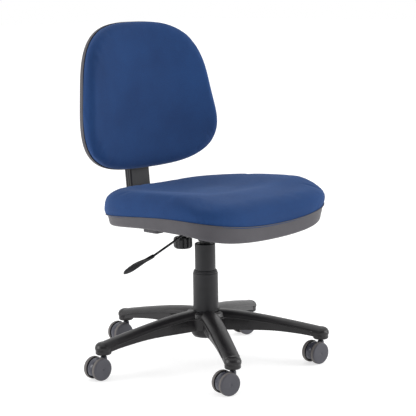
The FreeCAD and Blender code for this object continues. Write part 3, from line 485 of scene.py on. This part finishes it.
def seat_rings():
    """Rings of the seat cushion, from its middle underneath, out, round its edge, and in over its top."""
    rings = []
    middle = (SEAT_FRONT + SEAT_REAR) / 2

    def ring(inset, height, scale=1.0):
        x, y = seat_ring(inset)
        x, y = x * scale, middle + (y - middle) * scale
        rings.append(np.column_stack([x, y, height(x, y)]))

    for scale in UNDERSIDE_SCALES:
        ring(UNDERSIDE_INSET * MM, lambda x, y: seat_seam(x, y) - UNDERSIDE_DEPTH * MM, scale)
    for inset, depth in UNDERSIDE_TUCK:
        ring(inset * MM, lambda x, y, d=depth: seat_seam(x, y) - d * MM)
    for inset, share in SEAT_WALL:
        ring(inset * MM, lambda x, y, f=share: (1 - f) * seat_seam(x, y) + f * seat_rim(x, y))
    for scale in TOP_SCALES:
        sunk = DISH_DEPTH * ease((1 - scale) / DISH_EASE)
        ring(TOP_INSET * MM, lambda x, y, d=sunk: seat_rim(x, y) - d, scale)
    return rings


def pucker_seat(obj):
    """Small gathers above the seam, strongest at the front corners, and a slight unevenness of the foam."""
    rng = random.Random(SEED)
    waves = []
    for _ in range(PUCKER_WAVES):
        waves.append((rng.uniform(*PUCKER_RATES), rng.uniform(*PUCKER_PHASES), rng.uniform(*PUCKER_WEIGHTS)))
    middle_y = (SEAT_FRONT + SEAT_REAR) / 2
    normals = [vertex.normal.copy() for vertex in obj.data.vertices]
    for vertex, normal in zip(obj.data.vertices, normals):
        x, y, z = vertex.co
        above = (z - seat_seam(x, y)) / MM
        angle = math.atan2(y - middle_y, x)
        nearness = [math.exp(-((angle - a) / PUCKER_CORNER_WIDTH) ** 2) for a in PUCKER_CORNERS]
        corner = max(nearness) + PUCKER_ELSEWHERE
        near = math.exp(-((above - PUCKER_HEIGHT) / PUCKER_SPREAD) ** 2) if above > 0 else 0
        ripple = sum(w * math.sin(f * angle * PUCKER_TIGHTNESS + p) for f, p, w in waves) / PUCKER_WAVES
        lump = 0
        if above > LUMP_HEIGHT:
            across, along = x * LUMP_RATE_X + LUMP_SHIFT_X, y * LUMP_RATE_Y + LUMP_SHIFT_Y
            lump = math.sin(across) * math.sin(along) * LUMP_DEPTH
        vertex.co += normal * MM * (PUCKER_DEPTH * ripple * near * corner + lump)


# ---------------------------------------------------------------- back cushion: insets, depths in mm
BACK_SIDE_SQUARENESS = (2.87, 2.92)
BACK_END_SQUARENESS = (3.14, 2.87)
BACK_FACE_INSET = 25
BACK_FACE_DEPTH = 46
BACK_REAR_DEPTH = 12
BACK_DISH = 1.9
BACK_DISH_REACH = 0.9
BACK_REAR_SCALES = (0.3, 0.65)
BACK_FRONT_SCALES = np.linspace(0.94, 0.06, 18)


def back_ring(inset, depth, scale=1.0):
    """World points of the backrest's outline, inset and scaled; a negative depth is toward the sitter."""
    across, along = np.cos(AROUND), np.sin(AROUND)
    side_power = 2 / np.where(along > 0, *BACK_SIDE_SQUARENESS)
    end_power = 2 / np.where(along > 0, *BACK_END_SQUARENESS)
    rise = signed_power(along, end_power)
    half = BACK_HALF_WIDTH * (1 - BACK_TAPER * rise + BACK_FLARE * rise * rise) - inset
    x = scale * half * signed_power(across, side_power)
    up = scale * (BACK_HALF_HEIGHT - inset) * rise
    y = np.sqrt((BACK_CURVE + depth) ** 2 - x ** 2) - BACK_CURVE
    cosine, sine = math.cos(BACK_RAKE), math.sin(BACK_RAKE)
    world_y = BACK_CENTRE.y + y * cosine + up * sine
    world_z = BACK_CENTRE.z - y * sine + up * cosine
    return np.column_stack([x, world_y, world_z])


BACK_EDGE = (
    (25, 12), (10, 12.6), (4, 13.4), (1.6, 14.8), (0.6, 15.6), (-0.9, 17), (-2, 19.5), (-2.8, 23), (-3, 27),
    (-2.7, 31), (-1.4, 35), (0.6, 38.5), (3.4, 41.6), (7, 44), (12, 45.6), (18, 46.2), (25, 46),
)


def back_rings():
    """Rings of the back cushion, from its rear middle, out, round its edge, and in over its dished front."""
    rings = [back_ring(BACK_FACE_INSET * MM, -BACK_REAR_DEPTH * MM, scale) for scale in BACK_REAR_SCALES]
    rings += [back_ring(inset * MM, -depth * MM) for inset, depth in BACK_EDGE]
    for scale in BACK_FRONT_SCALES:
        dish = BACK_DISH * math.sin(math.pi * min(1, (1 - scale) / BACK_DISH_REACH)) ** 2
        rings.append(back_ring(BACK_FACE_INSET * MM, (dish - BACK_FACE_DEPTH) * MM, scale))
    return rings


# ---------------------------------------------------------------- cloth over foam
CLOTH_PRESSURE = 4.0
CLOTH_FRAMES = 20
CLOTH_TENSION = 12
CLOTH_BENDING = 1.5
CLOTH_REACH = 2.5 * MM
SEAT_HELD_RINGS = 8
BACK_HELD_RINGS = 7


def cloth_pass(obj, held):
    """Blows the closed cover up as cloth, holding some points; none moves further than CLOTH_REACH."""
    bpy.context.view_layer.objects.active = obj
    group = obj.vertex_groups.new(name="held")
    group.add(held, 1.0, "REPLACE")
    start = np.array([vertex.co for vertex in obj.data.vertices])
    cloth = obj.modifiers.new("cloth", "CLOTH")
    cloth.settings.vertex_group_mass = "held"
    cloth.settings.use_pressure = True
    cloth.settings.uniform_pressure_force = CLOTH_PRESSURE
    cloth.settings.tension_stiffness = CLOTH_TENSION
    cloth.settings.bending_stiffness = CLOTH_BENDING
    cloth.settings.effector_weights.gravity = 0
    cloth.point_cache.frame_start = 1
    cloth.point_cache.frame_end = CLOTH_FRAMES
    for step in range(1, CLOTH_FRAMES + 1):
        bpy.context.scene.frame_set(step)
    bpy.ops.object.modifier_apply(modifier="cloth")
    bpy.context.scene.frame_set(1)
    now = np.array([vertex.co for vertex in obj.data.vertices])
    move = now - start
    length = np.maximum(np.linalg.norm(move, axis=1, keepdims=True), 1e-9)
    now = start + move * (CLOTH_REACH * np.tanh(length / CLOTH_REACH) / length)
    obj.data.vertices.foreach_set("co", now.astype(np.float32).ravel())
    obj.data.update()
    obj.vertex_groups.remove(obj.vertex_groups["held"])


def upholster(name, rings, held_rings, body, node, material):
    """A cushion cover from its rings: cloth over foam, tucked in at its seam."""
    points, faces = ring_mesh(rings)
    obj = mesh_object(name, points, faces, material)
    held = list(range(held_rings * len(AROUND))) + [len(rings) * len(AROUND)]
    cloth_pass(obj, held)
    if name == "seat_upholstery":
        pucker_seat(obj)
    obj.data.shade_smooth()
    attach(obj, body)
    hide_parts(node)


def build_cushions(materials):
    """The upholstered seat and back."""
    cloth = materials["blue_fabric"]
    upholster("seat_upholstery", seat_rings(), SEAT_HELD_RINGS, "seat", "seat_cushion", cloth)
    upholster("back_upholstery", back_rings(), BACK_HELD_RINGS, "backrest", "back_cushion", cloth)


LIP_SIDES = 10
LIP_HALF_WIDTH = 1.3 * MM
LIP_HALF_HEIGHT = 1.1 * MM
SEAT_LIP_INSET = 0.6 * MM
SEAT_LIP_DROP = 1.0 * MM
BACK_LIP_INSET = -0.9 * MM
BACK_LIP_DEPTH = -14.6 * MM


def lip(name, rings, body, material):
    """A thin rounded edge along a moulded rim."""
    points, faces = ring_mesh(rings, closed=False)
    count = len(AROUND)
    faces += band((len(rings) - 1) * count, 0, count)
    obj = mesh_object(name, points, faces, material)
    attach(obj, body)


def build_lips(materials):
    """Rounded rims of the two shells, where they meet the fabric."""
    seat, back = [], []
    for i in range(LIP_SIDES):
        turn = 2 * math.pi * i / LIP_SIDES
        across, up = LIP_HALF_WIDTH * math.cos(turn), LIP_HALF_HEIGHT * math.sin(turn)
        x, y = seat_ring(SEAT_LIP_INSET - across)
        seat.append(np.column_stack([x, y, seat_seam(x, y) - SEAT_LIP_DROP + up]))
        back.append(back_ring(BACK_LIP_INSET - across, BACK_LIP_DEPTH - up))
    lip("seat_shell_rim", seat, "seat", materials["grey_shell"])
    lip("back_shell_rim", back, "backrest", materials["grey_shell"])


# ---------------------------------------------------------------- castors
def lathe(profile, segments, wobble=None):
    """Points and faces of a closed profile turned about the local Y axis; wobble moves a point outward."""
    rings = []
    for k in range(segments):
        angle = 2 * math.pi * k / segments
        ring = []
        for radius, along in profile:
            reach = radius + (wobble(radius, along, k) if wobble else 0)
            ring.append((reach * math.cos(angle), along, reach * math.sin(angle)))
        rings.append(ring)
    count = len(profile)
    points = [point for ring in rings for point in ring]
    faces = bands(segments, count, flip=True)
    faces += band((segments - 1) * count, 0, count, flip=True)
    return points, faces


WHEEL_PROFILE = [
    (1.6, 20), (1.6, 22.2), (1.9, 22.25), (2.3, 22.45), (9, 22.5), (17, 22.5), (24.2, 22.5), (25.4, 22.35),
    (26.5, 21.9), (27.3, 21.1), (27.6, 20.2), (27.35, 19.7), (27.3, 19.4), (27.9, 19.2), (28.3, 18.8),
    (28.4, 18), (28.4, 15), (28.4, 12.3), (28.1, 11.5), (27.4, 11), (25.5, 10.9), (24.6, 11.2), (24.5, 12),
    (24.5, 19.5), (9, 19.5), (7.9, 19), (7.9, 10.6), (7.0, 10.4), (1.6, 10.4),
]
RIBS = 68
SEGMENTS_PER_RIB = 4
WHEEL_SEGMENTS = SEGMENTS_PER_RIB * RIBS
RIB_SLANT = 0.5
RIB_PITCH = 3
RIB_DEPTH = 0.1 * MM
TREAD_RADIUS = 28.35 * MM
TREAD_INNER = 12 * MM
TREAD_OUTER = 18.2 * MM
TREAD_MIDDLE = 15
GROOVE_RADIUS = 27.45 * MM
GROOVE_PLACE = 19.3 * MM
DIMPLE_FLOOR = 22.15 * MM


def tread_rib(radius, along, k):
    """Fine slanted ribs across the tyre."""
    if radius < TREAD_RADIUS or not TREAD_INNER < along < TREAD_OUTER:
        return 0
    slant = (along / MM - TREAD_MIDDLE) * RIB_SLANT
    return RIB_DEPTH * math.cos(2 * math.pi * (k / SEGMENTS_PER_RIB + slant / RIB_PITCH))


def wheel_mesh(materials):
    """The castor wheel: face disc with a soft rim and a small dimple, groove, ribbed tyre, and an inner side
    darkened as painted shade.
    """
    profile = [(radius * MM, along * MM) for radius, along in WHEEL_PROFILE]
    points, faces = lathe(profile, WHEEL_SEGMENTS, tread_rib)
    points.append((0, DIMPLE_FLOOR, 0))
    centre = len(points) - 1
    count = len(profile)
    for k in range(WHEEL_SEGMENTS):
        following = (k + 1) % WHEEL_SEGMENTS
        faces.append((centre, k * count + 1, following * count + 1))
    mesh = bpy.data.meshes.new("castor_wheel")
    mesh.from_pydata(points, [], faces)
    mesh.validate()
    for name in ("wheel_plastic", "tread", "black_steel"):
        mesh.materials.append(materials[name])
    # Faces on the wheel's inner side, toward the hood, get the dark black_steel material. This is painted
    # shade for the dark gap between wheel and hood.
    for polygon in mesh.polygons:
        middle = polygon.center
        radius = math.hypot(middle.x, middle.z)
        if radius > GROOVE_RADIUS and middle.y < GROOVE_PLACE:
            polygon.material_index = 1
        elif middle.y < TREAD_INNER:
            polygon.material_index = 2
    mesh.shade_smooth()
    return mesh


HOOD_SECTION = (
    (-8.8, 2.6), (-8.6, 1.7), (-8.0, 1.1), (-7, 0.8), (0, 0.4), (7, 0.8), (8.0, 1.1), (8.6, 1.7), (8.8, 2.6),
    (8.8, 4.4), (0, 4.4), (-8.8, 4.4),
)
HOOD_START = -31
HOOD_END = 157
HOOD_STEPS = 64
HOOD_SHARP = 50
WEB_START = -25
WEB_TURN = 230
WEB_STEPS = 32
WEB_SHARE = 0.93
WEB_HALF = 2.5 * MM


def hood_mesh(materials):
    """Glossy hood between the wheels: a rounded band open underneath, a middle web, and the stem's neck."""
    section = [(HOOD_RADIUS - drop * MM, along * MM) for along, drop in HOOD_SECTION]
    start, end = math.radians(HOOD_START), math.radians(HOOD_END)
    points = []
    count = len(section)
    for k in range(HOOD_STEPS + 1):
        angle = start + (end - start) * k / HOOD_STEPS
        for radius, along in section:
            points.append((radius * math.cos(angle), along, radius * math.sin(angle)))
    faces = bands(HOOD_STEPS + 1, count)
    faces.append(tuple(range(count)))
    faces.append(tuple(HOOD_STEPS * count + i for i in reversed(range(count))))
    append_part(points, faces, web_solid())
    for profile in (NECK_PROFILE, AXLE_BOSS_PROFILE):
        append_part(points, faces, turned_solid(profile))
    mesh = bpy.data.meshes.new("castor_hood")
    mesh.from_pydata(points, [], faces)
    mesh.validate()
    mesh.materials.append(materials["hood_plastic"])
    mesh.shade_smooth()
    mesh.set_sharp_from_angle(angle=math.radians(HOOD_SHARP))
    return mesh


def web_solid():
    """The flat web in the middle of the hood."""
    outline = []
    for k in range(WEB_STEPS + 1):
        angle = math.radians(WEB_START + WEB_TURN * k / WEB_STEPS)
        outline.append((HOOD_RADIUS * WEB_SHARE * math.cos(angle), HOOD_RADIUS * WEB_SHARE * math.sin(angle)))
    count = len(outline)
    points = [(x, -WEB_HALF, z) for x, z in outline] + [(x, WEB_HALF, z) for x, z in outline]
    faces = [tuple(range(count)), tuple(reversed(range(count, 2 * count)))]
    faces += band(0, count, count, flip=True)
    return points, faces


NECK_PROFILE = ("stem", ((8.4, 20), (8.5, 52), (8.2, 54), (7.4, 55.6), (6.6, 56), (0, 56)))
AXLE_BOSS_PROFILE = ("axle", ((7.3, -10.1), (7.5, -9.8), (7.5, 9.8), (7.3, 10.1), (0, 10.1)))


def turned_solid(named_profile, segments=36):
    """A turned boss: on the stem (about Z) or on the axle (about Y), seen from the wheels' centre."""
    kind, profile = named_profile
    points = []
    for radius, along in profile:
        for k in range(segments):
            angle = 2 * math.pi * k / segments
            u, v = radius * MM * math.cos(angle), radius * MM * math.sin(angle)
            if kind == "stem":
                points.append((u - WHEEL_TRAIL, v, along * MM - WHEEL_RADIUS))
            else:
                points.append((u, along * MM, v))
    return points, bands(len(profile), segments)


def build_castors(materials):
    """Wheels and hoods of the five castors."""
    wheel = wheel_mesh(materials)
    hood = hood_mesh(materials)
    for k in range(ARM_COUNT):
        arm = math.radians(FIRST_ARM_ANGLE + ARM_SPACING * k)
        turn = math.radians(TRAIL_ANGLES[k])
        stem = Vector((STEM_CIRCLE * math.cos(arm), STEM_CIRCLE * math.sin(arm), 0))
        centre = stem + Vector((WHEEL_TRAIL * math.cos(turn), WHEEL_TRAIL * math.sin(turn), WHEEL_RADIUS))
        place = Matrix.Translation(centre) @ Matrix.Rotation(turn, 4, "Z")
        label = f"castor_{k + 1}"
        for suffix, flip in (("a", 0), ("b", math.pi)):
            piece = bpy.data.objects.new(f"{label}_tyre_{suffix}", wheel)
            piece.matrix_world = place @ Matrix.Rotation(flip, 4, "Z")
            bpy.context.scene.collection.objects.link(piece)
            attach(piece, f"{label}_wheel_{suffix}")
            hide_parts(f"{label}_wheel_{suffix}")
        cover = bpy.data.objects.new(f"{label}_cover", hood)
        cover.matrix_world = place
        bpy.context.scene.collection.objects.link(cover)
        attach(cover, label)
        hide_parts(f"{label}_hood")


# ---------------------------------------------------------------- star base
def tube_mesh(path, radius, sides=10):
    """Points and faces of a round bead along a path, closed at both ends."""
    points = []
    for k, centre in enumerate(path):
        ahead = (path[min(k + 1, len(path) - 1)] - path[max(k - 1, 0)]).normalized()
        across = ahead.cross(Vector((0, 0, 1))).normalized()
        up = across.cross(ahead)
        for i in range(sides):
            turn = 2 * math.pi * i / sides
            points.append(centre + radius * (math.cos(turn) * across + math.sin(turn) * up))
    faces = bands(len(path), sides, flip=True)
    faces.append(tuple(range(sides)))
    faces.append(tuple((len(path) - 1) * sides + i for i in reversed(range(sides))))
    return points, faces


ARM_REACH = (20, 80, 160, 240, 298)
ARM_WIDTH = (50, 49, 46, 43, 43)
ARM_LEDGE = (134, 131, 120, 103.5, 90)
BEAD_START = 62
BEAD_END = 276
BEAD_STEPS = 30
BEAD_RADIUS = 1.7 * MM
BEND_STEPS = (0.2, 0.4, 0.6, 0.8)
BEAD_LIFT = 1.2
BEAD_INSET = 0.3
CROTCH_REACH = 46
RIB_FIRST = 66
RIB_LAST = 114
RIB_SPACING = 3.6
RIB_SIDE = 17.3
RIB_FOOT = 87
RIB_HEAD = 113.5
RIB_HEAD_SLOPE = 0.06
RIB_RADIUS = 0.8 * MM
RIB_OVERRUN = 0.02


def ledge_point(reach, side):
    """Where an arm's cap meets its web on one side, in the arm's own frame, in millimetres."""
    half = np.interp(reach, ARM_REACH, ARM_WIDTH) / 2
    height = np.interp(reach, ARM_REACH, ARM_LEDGE) + BEAD_LIFT - FLOOR_BELOW_DATUM / MM
    return Vector((reach, side * (half - BEAD_INSET), height))


def build_base_details(materials):
    """The bead along the lower edge of each arm's cap, round the crotches, and the fine ribs near the hub."""
    points, faces = [], []
    for k in range(ARM_COUNT):
        arm = math.radians(FIRST_ARM_ANGLE + ARM_SPACING * k)
        place = Matrix.Rotation(arm, 4, "Z") @ Matrix.Scale(MM, 4)
        following = Matrix.Rotation(arm + math.radians(ARM_SPACING), 4, "Z") @ Matrix.Scale(MM, 4)
        reaches = np.linspace(BEAD_END, BEAD_START, BEAD_STEPS)
        out = [place @ ledge_point(reach, 1) for reach in reaches]
        back = [following @ ledge_point(reach, -1) for reach in reversed(reaches)]
        start, end = out[-1], back[0]
        crotch = (place @ ledge_point(CROTCH_REACH, 1) + following @ ledge_point(CROTCH_REACH, -1)) / 2
        bend = []
        for step in BEND_STEPS:
            bend.append(start * (1 - step) ** 2 + crotch * 2 * step * (1 - step) + end * step ** 2)
        append_part(points, faces, tube_mesh(out + bend + back, BEAD_RADIUS))
        for side in (1, -1):
            for reach in np.arange(RIB_FIRST, RIB_LAST, RIB_SPACING):
                top = RIB_HEAD - RIB_HEAD_SLOPE * (reach - RIB_FIRST)
                foot = place @ Vector((reach, side * RIB_SIDE, RIB_FOOT))
                head = place @ Vector((reach, side * RIB_SIDE, top))
                head = head + (head - foot) * RIB_OVERRUN
                append_part(points, faces, upright_rib(foot, head))
    obj = mesh_object("base_edge_beads", points, faces, materials["black_base"])
    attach(obj, "base")


def upright_rib(foot, head, sides=8):
    """Points and faces of one slim upright rib."""
    points = []
    for centre in (foot, head):
        for i in range(sides):
            turn = 2 * math.pi * i / sides
            points.append(centre + Vector((RIB_RADIUS * math.cos(turn), RIB_RADIUS * math.sin(turn), 0)))
    faces = [tuple(reversed(range(sides))), tuple(range(sides, 2 * sides))]
    faces += band(0, sides, sides)
    return points, faces


# ---------------------------------------------------------------- everything
place_camera()
build_studio()
MATERIALS = make_materials()
dress_cad(MATERIALS)
build_cushions(MATERIALS)
build_lips(MATERIALS)
build_castors(MATERIALS)
build_base_details(MATERIALS)
